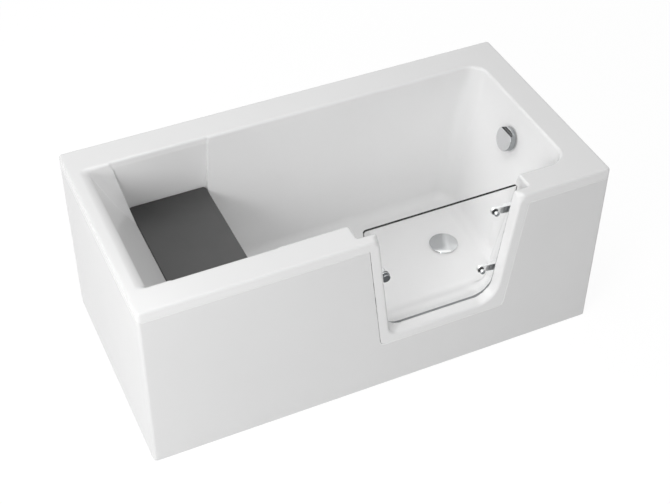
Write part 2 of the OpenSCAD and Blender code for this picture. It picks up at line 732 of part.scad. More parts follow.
// Overflow: the turning knob with its finger flat stands on the waste end wall
over_spindle = 8;                        // spindle behind the knob
over_plate_t = 4;
over_edge = 2;
flat_h = 10;
cavity_h = 11;                           // hollow in the back of the knob
spindle_in = over_plate_t + 20;
module overflow_knob() color(chrome) {
    flat = over_d/2 - 13;                // finger flat from the knob's middle
    top = over_t - over_plate_t;
    at_overflow(over_plate_t + slack) {
        difference() {
            rotate_extrude()
                polygon(concat([[0, 0], [over_d/2 - 3, 0], [over_d/2, 3]],
                    [for (t = [0:22.5:90]) [over_d/2 + over_edge*(cos(t) - 1), top + over_edge*(sin(t) - 1)]],
                    [[0, top]]));
            translate([flat, 0, top]) rotate([0, -45, 0])
                translate([0, -over_d/2, 0]) cube([over_d/2, over_d, over_t]);
            translate([flat, -over_d/2, top - flat_h]) cube([over_d/2, over_d, over_t]);
            translate([0, 0, -1]) cylinder(d = over_d - 14, h = cavity_h + 1);
        }
        translate([0, 0, -spindle_in]) cylinder(d = over_spindle, h = spindle_in + cavity_h + 1);
    }
}
overflow_knob();

// Overflow face plate: its neck passes the wall and screws into the body behind
socket_d = pipe_d + 2*pipe_wall;
chamber_d = over_d - 18;
chamber_t = socket_d + 2;
gasket_over = 3;
chamber_z = -skin - gasket_over - chamber_t/2;
neck_d = overflow_bore - 2;
neck_l = skin + gasket_over + 8;
module overflow_plate() color(plastic) {
    bore = neck_d - 2*pipe_wall;
    at_overflow() difference() {
        union() {
            cylinder(d = chamber_d, h = over_plate_t);
            translate([0, 0, -neck_l]) cylinder(d = neck_d, h = neck_l + 1);
        }
        difference() {
            translate([0, 0, -neck_l - 1]) cylinder(d = bore, h = neck_l + over_plate_t + 2);
            translate([-7, -neck_d/2, 0]) cube([14, neck_d, over_plate_t]);
        }
        translate([0, 0, -1]) cylinder(d = over_spindle + 2*run_fit, h = over_plate_t + 2);
    }
}
overflow_plate();

// Overflow body: a chamber behind the wall with sockets for the pipe and the cable
cable_d = 7;
cable_y = 25;                            // cable beside the pipe
socket_t = 2;
module overflow_body() color(plastic) {
    at_overflow() difference() {
        union() {
            translate([0, 0, chamber_z - chamber_t/2]) cylinder(d = chamber_d, h = chamber_t);
            translate([-chamber_d/2 - collar_l, 0, chamber_z])
                rotate([0, 90, 0]) cylinder(d = socket_d, h = 2*collar_l);
            translate([-chamber_d/2, cable_y, chamber_z])
                rotate([0, 90, 0]) cylinder(d = cable_d + 2*socket_t, h = 20);
        }
        translate([0, 0, chamber_z - chamber_t/2 + pipe_wall])
            cylinder(d = neck_d - 2*pipe_wall, h = chamber_t);
        translate([0, 0, -neck_l]) cylinder(d = neck_d, h = neck_l);
        translate([-chamber_d/2 - collar_l - 1, 0, chamber_z]) rotate([0, 90, 0]) {
            cylinder(d = pipe_d, h = collar_l - 1);
            cylinder(d = pipe_d - 2*pipe_wall, h = chamber_d/2);
        }
        translate([-chamber_d/2 - 1, cable_y, chamber_z]) rotate([0, 90, 0]) cylinder(d = cable_d, h = 9);
    }
}
overflow_body();

module overflow_gasket() color(rubber) {
    at_overflow() translate([0, 0, -skin - gasket_over]) difference() {
        cylinder(d = chamber_d, h = gasket_over);
        translate([0, 0, -1]) cylinder(d = neck_d, h = gasket_over + 2);
    }
}
overflow_gasket();

// Overflow pipe: it follows the lean of the wall down to the level of the waste
link_z = under_z - board_t - socket_d/2 - 2.5;
drop = (overflow_z - link_z)/cos(end_lean) + chamber_z*end_t;
link_x = over_x - drop*sin(end_lean) - chamber_z*cos(end_lean);
module overflow_pipe() color(plastic) {
    len = drop - elbow_lead - slack - chamber_d/2 - 2;
    at_overflow() translate([-chamber_d/2 - 2, 0, chamber_z]) rotate([0, -90, 0]) difference() {
        cylinder(d = pipe_d, h = len);
        translate([0, 0, -1]) cylinder(d = pipe_d - 2*pipe_wall, h = len + 2);
    }
}
overflow_pipe();

// Elbow at the foot of the pipe, with a collar for each tube, and the level tube to the waste
cup_d = 72;
elbow_r = 25;
collar_l = 14;
elbow_lead = elbow_r*tan((90 - end_lean)/2);
module elbow_bend(d) {
    translate([link_x - elbow_lead, y_mid, link_z + elbow_r]) rotate([90, 0, 0]) rotate([0, 0, -90])
        rotate_extrude(angle = 90 - end_lean) translate([elbow_r, 0]) circle(d = d);
}
// Runs from distance l0 to l1 along both arms of the elbow
module elbow_arms(d, l0, l1) {
    for (turn = [-90, end_lean]) translate([link_x, y_mid, link_z]) rotate([0, turn, 0])
        translate([0, 0, l0]) cylinder(d = d, h = l1 - l0);
}
module waste_elbow() color(plastic) {
    difference() {
        union() {
            elbow_bend(pipe_d + 2);
            elbow_arms(socket_d, elbow_lead - 3, elbow_lead + collar_l);
        }
        elbow_bend(pipe_d - 2*pipe_wall);
        elbow_arms(pipe_d, elbow_lead - 0.5, elbow_lead + collar_l + 1);
    }
}
module waste_link() color(plastic) {
    x0 = waste_x + cup_d/2 - 4;
    len = link_x - elbow_lead - x0 - slack;
    translate([x0, y_mid, link_z]) rotate([0, 90, 0]) difference() {
        cylinder(d = pipe_d, h = len);
        translate([0, 0, -1]) cylinder(d = pipe_d - 2*pipe_wall, h = len + 2);
    }
}
waste_elbow();
waste_link();

// Cable from the overflow knob to the plug: down beside the pipe, round a bend and level to the cup.
// A heading of 180 runs level towards the cup.
cable_r = 60;
cable_n = 12;
function cable_ring(p, h) =
    [for (i = [0:cable_n - 1]) let(a = i*360/cable_n, u = cable_d/2*cos(a))
        [p[0] + u*sin(h), y_mid + cable_y + cable_d/2*sin(a), p[1] - u*cos(h)]];
module control_cable() color(rubber) {
    lead = cable_r*tan((90 - end_lean)/2);
    centre = [link_x - lead, link_z + cable_r];
    h0 = 270 - end_lean;
    top = [link_x, link_z] + (drop - chamber_d/2 + 6)*[sin(end_lean), cos(end_lean)];
    loft(concat([cable_ring(top, h0)],
        [for (i = [0:8]) let(h = h0 - (90 - end_lean)*i/8) cable_ring(centre + cable_r*[-sin(h), cos(h)], h)],
        [cable_ring([waste_x + cup_d/2 + 2, link_z], 180)]));
}
control_cable();

// Waste flange on the floor of the bath, with a cross that guides the plug's stem
flange_h = 3;
tail_d = waste_bore - 2;
tail_bore = tail_d - 6;
tail_l = skin + 12;
stem_d = 8;
module waste_flange() color(chrome) {
    at_waste(floor_z) {
        rotate_extrude()
            polygon([[tail_bore/2, -tail_l], [tail_d/2, -tail_l], [tail_d/2, 0], [cover_d/2 - 2, 0],
                     [cover_d/2 - 4, flange_h], [tail_bore/2 + 1, flange_h], [tail_bore/2, flange_h - 1]]);
        translate([0, 0, -tail_l]) difference() {
            union() {
                cylinder(d = stem_d + 8, h = 8);
                for (a = [45, 135]) rotate([0, 0, a])
                    translate([-tail_bore/2 - 1, -2, 0]) cube([tail_bore + 2, 4, 6]);
            }
            translate([0, 0, -1]) cylinder(d = stem_d + 2*run_fit, h = 10);
        }
    }
}
waste_flange();

// Waste cover: a low dome on a stem; it stands over the whole flange
cover_t = 6;
cover_edge = 1.5;
module waste_cover() color(chrome) {
    at_waste(floor_z + flange_h + slack) {
        rotate_extrude()
            polygon(concat([[0, 0], [cover_d/2 - 1, 0]],
                [for (u = [1, 0.92, 0.8, 0.64, 0.42, 0.2, 0])
                    [u*cover_d/2, cover_edge + (cover_t - cover_edge)*(1 - u*u)]]));
        translate([0, 0, -tail_l - 18]) cylinder(d = stem_d, h = tail_l + 19);
    }
}
waste_cover();

// Waste body under the floor: a cup with a side inlet and a dip tube into the trap
cup_wall = 4;
cup_z = link_z - socket_d/2 - 8;
dip_d = 46;
trap_z = 10;
trap_top = cup_z - 4;
module waste_body() color(plastic) {
    difference() {
        union() {
            at_waste(under_z - cup_wall) cylinder(d = cover_d - 4, h = cup_wall);
            at_waste(cup_z) cylinder(d = cup_d, h = under_z - cup_z);
            at_waste(trap_z + 20) cylinder(d = dip_d, h = cup_z - trap_z - 19);
            translate([waste_x, y_mid, link_z]) rotate([0, 90, 0]) cylinder(d = socket_d, h = cup_d/2 + 10);
            translate([waste_x, y_mid + cable_y, link_z])
                rotate([0, 90, 0]) cylinder(d = cable_d + 2*socket_t, h = cup_d/2 + 12);
        }
        at_waste(cup_z + cup_wall) cylinder(d = tail_d, h = under_z);
        at_waste(trap_z + 19) cylinder(d = dip_d - 6, h = under_z);
        translate([waste_x, y_mid, link_z]) rotate([0, 90, 0]) {
            cylinder(d = pipe_d - 2*pipe_wall, h = cup_d);
            translate([0, 0, cup_d/2 - 4]) cylinder(d = pipe_d, h = cup_d);
            translate([0, cable_y, cup_d/2 + 2]) cylinder(d = cable_d, h = cup_d);
        }
    }
}
waste_body();

// Trap with its outlet to the drain at the wall side
trap_d = 104;
trap_wall = 4;
outlet_z = (trap_z + trap_top)/2;
outlet_y = bath_w/2 - 75;                // end of the spigot
spigot_l = 40;                           // plain end that the drain's socket takes
module drain_trap() color(plastic) {
    difference() {
        union() {
            at_waste(trap_z) cylinder(d = trap_d, h = trap_top - trap_z);
            translate([waste_x, y_mid, outlet_z]) rotate([-90, 0, 0]) {
                cylinder(d = outlet_d, h = outlet_y - y_mid);
                cylinder(d = outlet_d + 3, h = outlet_y - spigot_l - y_mid);
            }
        }
        at_waste(trap_z + trap_wall) cylinder(d = trap_d - 2*trap_wall, h = trap_top - trap_z - 2*trap_wall);
        at_waste(trap_z + trap_wall) cylinder(d = dip_d, h = trap_top);
        translate([waste_x, y_mid, outlet_z])
            rotate([-90, 0, 0]) cylinder(d = outlet_d - 6, h = outlet_y - y_mid + 1);
    }
}
drain_trap();
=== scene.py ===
import json
import math

import bmesh
import bpy
import numpy as np
from mathutils import Matrix, Vector

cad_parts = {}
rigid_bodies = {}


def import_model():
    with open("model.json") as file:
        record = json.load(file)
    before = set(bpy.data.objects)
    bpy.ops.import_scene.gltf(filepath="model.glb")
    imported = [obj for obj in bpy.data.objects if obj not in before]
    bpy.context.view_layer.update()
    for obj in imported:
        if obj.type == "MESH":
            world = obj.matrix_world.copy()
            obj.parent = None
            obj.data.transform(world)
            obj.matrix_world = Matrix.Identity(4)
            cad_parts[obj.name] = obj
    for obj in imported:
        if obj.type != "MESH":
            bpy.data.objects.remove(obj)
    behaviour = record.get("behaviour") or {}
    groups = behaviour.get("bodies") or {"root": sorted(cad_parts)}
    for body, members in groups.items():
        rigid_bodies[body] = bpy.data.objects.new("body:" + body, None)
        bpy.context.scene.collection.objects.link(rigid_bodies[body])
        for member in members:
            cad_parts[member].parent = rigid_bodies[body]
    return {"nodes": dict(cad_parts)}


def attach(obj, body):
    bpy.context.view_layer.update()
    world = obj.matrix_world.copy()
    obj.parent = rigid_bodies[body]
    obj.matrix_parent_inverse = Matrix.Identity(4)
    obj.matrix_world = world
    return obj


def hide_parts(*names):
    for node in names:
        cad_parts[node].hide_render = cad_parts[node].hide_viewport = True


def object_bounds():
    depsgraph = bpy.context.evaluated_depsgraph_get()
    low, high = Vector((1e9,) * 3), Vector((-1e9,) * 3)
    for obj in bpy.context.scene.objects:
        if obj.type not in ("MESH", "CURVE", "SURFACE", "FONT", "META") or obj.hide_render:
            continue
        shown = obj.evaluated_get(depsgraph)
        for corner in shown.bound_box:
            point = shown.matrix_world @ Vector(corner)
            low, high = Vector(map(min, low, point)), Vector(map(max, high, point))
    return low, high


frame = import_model()
cad_low, cad_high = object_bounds()
nodes = frame["nodes"]
scene = bpy.context.scene

# ---- Camera -----------------------------------------------------------------------------------
# It looks down on the bath from the front, left of the middle, about 4.3 m away.
lens = bpy.data.cameras.new("camera")
lens.sensor_width = 36
lens.lens = 71.98
lens.shift_x = 0.0239
lens.shift_y = -0.0501
camera = bpy.data.objects.new("camera", lens)
camera.location = (-1.32812, -2.8515, 3.1831)
camera.rotation_euler = (0.84465, 0, -0.42255)
scene.collection.objects.link(camera)
scene.camera = camera

# ---- Floor and light --------------------------------------------------------------------------
# A studio floor of matt white card, lit by the white room and four soft lamps, most from the left.
# Camera, mirror and glass see the card and the room as plain white; the card keeps the shadow.
ROOM_LIGHT = 0.38
FLOOR_REACH = 40                         # metres from the middle, past all that a camera sees
LAMP_SIZE, LAMP_AIM = 1.8, Vector((0, 0, 0.3))


def linear(hex_colour):
    """Linear RGBA of an sRGB colour that is written as RRGGBB."""
    parts = [int(hex_colour[i:i + 2], 16) / 255 for i in (0, 2, 4)]
    return [c / 12.92 if c <= 0.04045 else ((c + 0.055) / 1.055)**2.4 for c in parts] + [1.0]


def add_node(tree, kind, settings=(), links=()):
    """Adds a node; settings are properties or input values, and links are sockets, by name."""
    node = tree.nodes.new("ShaderNode" + kind)
    for name, value in dict(settings).items():
        if isinstance(name, str) and hasattr(node, name):
            setattr(node, name, value)
        else:
            node.inputs[name].default_value = value
    for name, socket in dict(links).items():
        tree.links.new(socket, node.inputs[name])
    return node


def bare_tree(owner):
    """The empty node tree of a material or a world, and its output."""
    owner.use_nodes = True
    owner.node_tree.nodes.clear()
    kind = "OutputWorld" if isinstance(owner, bpy.types.World) else "OutputMaterial"
    return owner.node_tree, add_node(owner.node_tree, kind)


def seen_directly(tree):
    """1 where a camera, mirror or glass ray looks, and 0 for the light that falls on things."""
    path = add_node(tree, "LightPath")
    rays = add_node(tree, "Math", {"operation": "MAXIMUM"},
                    {0: path.outputs["Is Camera Ray"], 1: path.outputs["Is Glossy Ray"]})
    return add_node(tree, "Math", {"operation": "MAXIMUM"},
                    {0: rays.outputs[0], 1: path.outputs["Is Transmission Ray"]}).outputs[0]


def white_room():
    """Seen as plain white, and a soft even light of its own level on the object."""
    room = bpy.data.worlds.new("white_room")
    tree, output = bare_tree(room)
    level = add_node(tree, "MapRange", {"To Min": ROOM_LIGHT, "To Max": 1.0},
                     {"Value": seen_directly(tree)})
    sky = add_node(tree, "Background", {"Color": (1, 1, 1, 1)}, {"Strength": level.outputs[0]})
    tree.links.new(sky.outputs[0], output.inputs["Surface"])
    return room


def white_card():
    """Matt card with a faint grain; where it is seen directly, nine tenths of it is plain white."""
    card = bpy.data.materials.new("matt_white_card")
    tree, output = bare_tree(card)
    grain = add_node(tree, "TexNoise", {"Scale": 40.0, "Detail": 2.0})
    tone = add_node(tree, "Mix", {"data_type": "RGBA", 6: linear("F6F6F6"), 7: linear("FAFAFA")},
                    {0: grain.outputs[0]})
    paper = add_node(tree, "BsdfDiffuse", {}, {"Color": tone.outputs[2]})
    white = add_node(tree, "Emission", {"Color": (1, 1, 1, 1), "Strength": 1.04})
    share = add_node(tree, "Math", {"operation": "MULTIPLY", 1: 0.9}, {0: seen_directly(tree)})
    both = add_node(tree, "MixShader", {},
                    {0: share.outputs[0], 1: paper.outputs[0], 2: white.outputs[0]})
    tree.links.new(both.outputs[0], output.inputs["Surface"])
    return card


scene.world = white_room()
floor_mesh = bpy.data.meshes.new("floor")
corners = [(x * FLOOR_REACH, y * FLOOR_REACH, 0) for x, y in ((-1, -1), (1, -1), (1, 1), (-1, 1))]
floor_mesh.from_pydata(corners, [], [(0, 1, 2, 3)])
floor_mesh.materials.append(white_card())
floor = bpy.data.objects.new("floor", floor_mesh)
scene.collection.objects.link(floor)

for name, spot, watts in (("key_lamp", (-3.0, -2.2, 2.0), 64.0),
                          ("top_lamp", (-0.5, -1.0, 4.0), 25.0),
                          ("left_lamp", (-3.2, 1.0, 3.0), 14.0),
                          ("back_lamp", (-0.6, 1.6, 3.4), 18.0)):
    lamp_data = bpy.data.lights.new(name, "AREA")
    lamp_data.shape = "DISK"
    lamp_data.size = LAMP_SIZE
    lamp_data.energy = watts
    lamp = bpy.data.objects.new(name, lamp_data)
    lamp.location = spot
    lamp.rotation_euler = (LAMP_AIM - lamp.location).to_track_quat("-Z", "Y").to_euler()
    scene.collection.objects.link(lamp)
scene.view_settings.view_transform = "Standard"

# ---- The shell -------------------------------------------------------------------------------
# One moulding of white cast acrylic with resin behind it: rim, basin, recesses for seat and leaf,
# and the frame round the doorway. Heat-drawn sheet has no sharp edge anywhere, so it is made as a
# smooth distance field in mm, meshed, and given its skin's thickness.
# The block that it fills, as large as the frame's: its corners, its upper edge, the lip's foot.
BATH_LENGTH, BATH_WIDTH, RIM_HEIGHT = (round(1000 * (high - low), 1)
                                       for low, high in zip(cad_low, cad_high))
FRONT_FACE = -BATH_WIDTH / 2
PLAN_CORNER, RIM_EDGE = 12.0, 7.0
LIP_FOOT, SKIN = 586.0, 6.0
# The basin's walls, where they meet the rim, and how far they lean from upright.
FRONT_WALL, BACK_WALL, SIDE_LEAN = -279.98, 267.98, math.radians(6.6)
WASTE_END, WASTE_END_LEAN = 655.04, math.radians(14.6)
BACKREST, BACKREST_LEAN = -697.74, math.radians(31.8)
FLOOR_HEIGHT, FLOOR_FILLET = 135.0, 32.0
# The seat's recess: its ledges, its ends at the seat's height and its back walls.
LEDGE_HEIGHT, SEAT_HEIGHT = 405.0, 430.0
SEAT_LEFT, SEAT_LEFT_LEAN = -580.0, math.radians(10.8)
SEAT_RIGHT, SEAT_RIGHT_SLOPE = -320.3, 0.08
SEAT_FRONT, SEAT_BACK = -280.6, 268.6
# The doorway and the faces round it; left and right are taken at the foot of each outline.
SILL_HEIGHT, JAMB_LEAN = 213.0, math.radians(6.8)
DOORWAY_LEFT, DOORWAY_RIGHT, DOORWAY_CORNER = 26.0, 384.0, 58.0
DOOR_DRAFT, DRAFT_DEPTH = 3.0, 27.0
FRAME_LEFT, FRAME_RIGHT, FRAME_FOOT = -7.0, 417.0, SILL_HEIGHT - 33
# The leaf's recess runs from the wall's inner face, where the leaf closes, to the front wall.
LEAF_LEFT, LEAF_RIGHT, LEAF_FOOT = -23.488, 425.488, FLOOR_HEIGHT + 15
DOOR_FLANGE, LEAF_SIDE = -339.0, -198.0
# The two holes.
WASTE_X, MIDDLE_Y, WASTE_HOLE = 407.0, -6.0, 32.0
OVERFLOW, OVERFLOW_HOLE, HOLE_DEPTH = (626.652, MIDDLE_Y, 511.0), 26.0, 14.0
OVERFLOW_AXIS = (-0.967709, 0.0, 0.252069)  # into the basin, square to the waste end's wall


def rounded_and(a, b, radius):
    """Where both fields are negative, with the edge between them rounded."""
    return np.minimum(-radius, np.maximum(a, b)) + np.hypot(np.maximum(a + radius, 0),
                                                           np.maximum(b + radius, 0))


def leaning_wall(out, depth, lean):
    """Distance past a wall that leans outwards to the rim; out is measured at rim height."""
    return out * math.cos(lean) + depth * math.sin(lean)


def leaning_outline(x, z, left, right, foot, radius):
    """Outline with a level foot at its height and two sides that lean apart like the jambs."""
    run = (z - foot) * math.tan(JAMB_LEAN)
    sides = np.maximum(left - run - x, x - right - run) * math.cos(JAMB_LEAN)
    return rounded_and(sides, foot - z, radius)


def ease(value, start, end):
    """Rises smoothly from 0 at the start to 1 at the end."""
    t = np.clip((value - start) / (end - start), 0, 1)
    return t * t * (3 - 2 * t)


def plan_outline(x, y):
    """Distance outside the bath's outline, seen from above."""
    return rounded_and(np.abs(x) - BATH_LENGTH / 2, np.abs(y) - BATH_WIDTH / 2, PLAN_CORNER)


def from_overflow(p):
    """Distances from the overflow's middle: along its axis into the basin, and away from it."""
    away = p - OVERFLOW
    along = away @ OVERFLOW_AXIS
    return along, np.sqrt(np.maximum((away**2).sum(-1) - along**2, 0))


def frame_outline(x, z):
    """Distance outside the moulded frame round the doorway, on the front face."""
    return leaning_outline(x, z, FRAME_LEFT, FRAME_RIGHT, FRAME_FOOT, 16)


def casing_level(p):
    """Positive on the outer faces that the panels cover, zero along the lip's foot and frame."""
    x, y, z = p.T
    outer = np.abs(plan_outline(x, y)) < 1.5
    beside = np.where(y < FRONT_FACE + 15, frame_outline(x, z), 1e3)
    return np.where(outer, np.minimum(LIP_FOOT - z, beside), -1.0)


def basin(x, y, z):
    """The basin's four leaning walls and its floor, and the radius of its roll onto the rim."""
    depth = RIM_HEIGHT - z
    sides = np.maximum(leaning_wall(FRONT_WALL - y, depth, SIDE_LEAN),
                       leaning_wall(y - BACK_WALL, depth, SIDE_LEAN))
    waste_end = leaning_wall(x - WASTE_END, depth, WASTE_END_LEAN)
    backrest = leaning_wall(BACKREST - x, depth, BACKREST_LEAN)
    # the backrest's corners are tight at the rim and wide below
    soft = 14 + 60 * ease(depth, 5, 110)
    walls = np.maximum(rounded_and(waste_end, sides, 55), rounded_and(backrest, sides, soft))
    roll = 8 + 10.9 * ease(backrest - np.maximum(sides, waste_end), -25, 25)
    return rounded_and(walls, FLOOR_HEIGHT - z, FLOOR_FILLET), roll


def seat_recess(x, y, z):
    """The recess in both long walls over the ledges; its back runs straight up to the rim."""
    left = SEAT_LEFT - np.maximum(z - SEAT_HEIGHT, 0) * math.tan(SEAT_LEFT_LEAN)
    right = SEAT_RIGHT + (z - SEAT_HEIGHT) * SEAT_RIGHT_SLOPE
    recess = rounded_and(np.maximum(left - x, x - right),
                         np.maximum(SEAT_FRONT - y, y - SEAT_BACK), 2)
    return rounded_and(recess, LEDGE_HEIGHT - z, 3)


def leaf_recess(x, y, z):
    """The recess that the leaf lies in and swings out of, down to the front wall's foot."""
    outline = leaning_outline(x, z, LEAF_LEFT, LEAF_RIGHT, LEAF_FOOT, 60)
    return rounded_and(outline, np.maximum(DOOR_FLANGE - y, y - LEAF_SIDE), 6)


def doorway(x, y, z):
    """The doorway, wider towards the front face, and the radius of its edges.

    Its lower corner on the latch side tightens towards the front. The edge is eased over onto
    the front face and, with a wide roll, onto the rim.
    """
    front = np.clip((DOOR_FLANGE - y) / DRAFT_DEPTH, 0, 1)
    corner = np.where(x < (DOORWAY_LEFT + DOORWAY_RIGHT) / 2, DOORWAY_CORNER - 33 * front,
                      DOORWAY_CORNER)
    outline = leaning_outline(x, z, DOORWAY_LEFT, DOORWAY_RIGHT, SILL_HEIGHT, corner)
    edge = (1.5 + 3.5 * ease(-y, 341, 350) + 4 * ease(-y, 352, 362)
            + 11 * ease(z, 588, 612) * ease(-y, 345, 356))
    return np.maximum(outline - DOOR_DRAFT * front, y + 320), edge


def shell_field(p):
    """Distance in mm to the visible side of the moulding, negative inside the material."""
    x, y, z = p[..., 0], p[..., 1], p[..., 2]
    block = rounded_and(plan_outline(x, y), z - RIM_HEIGHT, RIM_EDGE)
    hollow, roll = basin(x, y, z)
    solid = rounded_and(block, -hollow, roll)
    solid = rounded_and(solid, -seat_recess(x, y, z), 2.2 + 7 * ease(z, 590, 612))
    solid = rounded_and(solid, -leaf_recess(x, y, z), 8 + 17 * ease(260 - z, 0, 90))
    opening, edge = doorway(x, y, z)
    solid = rounded_and(solid, -opening, edge)
    waste_hole = np.maximum(np.hypot(x - WASTE_X, y - MIDDLE_Y) - WASTE_HOLE, z - 200)
    solid = rounded_and(solid, -waste_hole, 1.5)
    along, reach = from_overflow(p)
    overflow_hole = np.maximum(reach - OVERFLOW_HOLE, np.abs(along) - 60)
    return rounded_and(solid, -overflow_hole, 1.5)


def cell_points(field, cells):
    """For each cell, the mean of the places where its twelve edges cross the surface."""
    total = np.zeros((len(cells), 3))
    crossings = np.zeros(len(cells))
    for axis in range(3):
        for i in (0, 1):
            for j in (0, 1):
                start = np.zeros(3, int)
                start[(axis + 1) % 3], start[(axis + 2) % 3] = i, j
                end = start.copy()
                end[axis] = 1
                near = field[tuple((cells + start).T)].astype(float)
                far = field[tuple((cells + end).T)].astype(float)
                cross = (near < 0) != (far < 0)
                share = np.where(cross, near / np.where(cross, near - far, 1), 0)
                total += (start + np.outer(share, end - start)) * cross[:, None]
                crossings += cross
    return cells + total / crossings[:, None]


def edge_quads(inside, number):
    """For each grid edge that crosses the surface, a quad between the four cells round it."""
    quads = []
    for axis in range(3):
        one, other = (axis + 1) % 3, (axis + 2) % 3
        near = [slice(1, -1)] * 3
        far = [slice(1, -1)] * 3
        near[axis], far[axis] = slice(0, -1), slice(1, None)
        first = np.ones(3, int)
        first[axis] = 0
        edge = np.argwhere(inside[tuple(near)] != inside[tuple(far)]) + first
        ring = []
        for step_one, step_other in ((-1, -1), (0, -1), (0, 0), (-1, 0)):
            beside = edge.copy()
            beside[:, one] += step_one
            beside[:, other] += step_other
            ring.append(number[tuple(beside.T)])
        ring = np.stack(ring, 1)
        turned = ~inside[tuple(edge.T)]
        ring[turned] = ring[turned][:, ::-1]
        quads.append(ring)
    return np.concatenate(quads)


def field_mesh(cell):
    """Points and quads of the zero surface on a grid of the given cell, one point a cell."""
    spans = [(-754.0, 754.0), (-379.0, 379.0), (FLOOR_HEIGHT - 10, RIM_HEIGHT + 4)]
    grid = [np.arange(start, end + cell, cell) for start, end in spans]
    field = np.empty([len(planes) for planes in grid], np.float32)
    for i in range(0, len(grid[0]), 16):
        slab = np.stack(np.meshgrid(grid[0][i:i + 16], grid[1], grid[2], indexing="ij"), -1)
        field[i:i + 16] = shell_field(slab)
    inside = field < 0
    # a cell holds a point where some of its eight corners are inside and some are not
    halves = [slice(0, -1), slice(1, None)]
    full = sum(inside[halves[i], halves[j], halves[k]].astype(np.int8)
               for i in (0, 1) for j in (0, 1) for k in (0, 1))
    mixed = (full > 0) & (full < 8)
    number = np.full(mixed.shape, -1, np.int64)
    number[mixed] = np.arange(mixed.sum())
    origin = np.array([planes[0] for planes in grid])
    return origin + cell * cell_points(field, np.argwhere(mixed)), edge_quads(inside, number)


def field_slope(points, step=0.4):
    """The field's values and slopes at points."""
    value = shell_field(points)
    slope = np.stack([(shell_field(points + step * axis) - shell_field(points - step * axis))
                      / (2 * step) for axis in np.eye(3)], 1)
    return value, slope


def settle(points, steps=4):
    """Moves points onto the zero surface; gives them and the outward directions there."""
    for _ in range(steps):
        value, slope = field_slope(points)
        move = value[:, None] * slope / np.maximum((slope**2).sum(1), 0.2)[:, None]
        size = np.linalg.norm(move, axis=1, keepdims=True)
        points = points - move * np.minimum(1, 2.5 / np.maximum(size, 1e-9))
    slope = field_slope(points)[1]
    return points, slope / np.linalg.norm(slope, axis=1, keepdims=True)


def cut_away(points, triangles, level):
    """Takes off the part of a mesh where level is positive, cutting exactly along its zero."""
    out = level(points) > 0
    count = out[triangles].sum(1)
    whole = triangles[count == 0]
    cut = triangles[(count == 1) | (count == 2)]
    odd = out[cut] == (out[cut].sum(1) == 1)[:, None]        # the corner that differs
    first = odd.argmax(1)
    cut = np.stack([cut[np.arange(len(cut)), (first + i) % 3] for i in range(3)], 1)
    pairs = np.sort(np.concatenate([cut[:, [0, 1]], cut[:, [2, 0]]]), axis=1)
    pairs, place = np.unique(pairs, axis=0, return_inverse=True)
    place = place.reshape(-1) + len(points)
    near, far = points[pairs[:, 0]], points[pairs[:, 1]]
    swap = out[pairs[:, 0]]
    near[swap], far[swap] = far[swap].copy(), near[swap].copy()
    for _ in range(14):
        middle = (near + far) / 2
        over = level(middle) > 0
        far = np.where(over[:, None], middle, far)
        near = np.where(over[:, None], near, middle)
    one, two = place[:len(cut)], place[len(cut):]
    alone = out[cut[:, 0]]
    # an outer corner leaves a quad, which is split; an inner corner leaves a triangle
    pieces = [whole, np.column_stack([cut[~alone, 0], one[~alone], two[~alone]]),
              np.column_stack([one[alone], cut[alone, 1], cut[alone, 2]]),
              np.column_stack([one[alone], cut[alone, 2], two[alone]])]
    return np.concatenate([points, near]), np.concatenate(pieces)


def piece(name, points, faces, body, replaced, materials, kinds=None):
    """Makes a visible piece of the object from a mesh in metres, riding on a body."""
    mesh = bpy.data.meshes.new(name)
    mesh.from_pydata([tuple(point) for point in points], [],
                     [tuple(int(corner) for corner in face) for face in faces])
    for material in materials:
        mesh.materials.append(material)
    if kinds is not None:
        mesh.polygons.foreach_set("material_index", kinds)
    mesh.shade_smooth()
    made = bpy.data.objects.new(name, mesh)
    scene.collection.objects.link(made)
    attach(made, body)
    if replaced:
        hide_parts(*replaced)
    return made


def finish_material(name, light, dark, patch_mm, rough, relief_mm=0.0, relief_size_mm=1.0, **shader):
    """A finish whose colour and gloss drift a little over patches, with a fine relief."""
    made = bpy.data.materials.new(name)
    tree, output = bare_tree(made)
    place = add_node(tree, "TexCoord").outputs["Object"]
    patches = add_node(tree, "TexNoise", {"Scale": 1000 / patch_mm, "Detail": 3.0},
                       {"Vector": place})
    colour = add_node(tree, "Mix", {"data_type": "RGBA", 6: linear(light), 7: linear(dark)},
                      {0: patches.outputs[0]})
    gloss = add_node(tree, "MapRange", {"To Min": rough[0], "To Max": rough[1]},
                     {"Value": patches.outputs[0]})
    base = add_node(tree, "BsdfPrincipled", shader,
                    {"Base Color": colour.outputs[2], "Roughness": gloss.outputs[0]})
    if relief_mm:
        relief = add_node(tree, "TexNoise", {"Scale": 1000 / relief_size_mm, "Detail": 2.0},
                          {"Vector": place})
        bump = add_node(tree, "Bump", {"Strength": 1.0, "Distance": relief_mm / 1000},
                        {"Height": relief.outputs[0]})
        tree.links.new(bump.outputs[0], base.inputs["Normal"])
    tree.links.new(base.outputs[0], output.inputs["Surface"])
    return made


# Cast acrylic drawn over a mould: white, glossy, with the faint long waves of drawn sheet.
acrylic = finish_material("white_cast_acrylic", "F0F0F0", "ECECEC", 220, (0.16, 0.22), 0.10, 90,
                          IOR=1.49)
GRID, QUICK_GRID = 4.0, 8.0
KEPT_SHARE = 0.26                        # of the grid's triangles, most of them in its curves
points, quads = field_mesh(GRID)
points = settle(points)[0]
triangles = np.concatenate([quads[:, [0, 1, 2]], quads[:, [0, 2, 3]]])
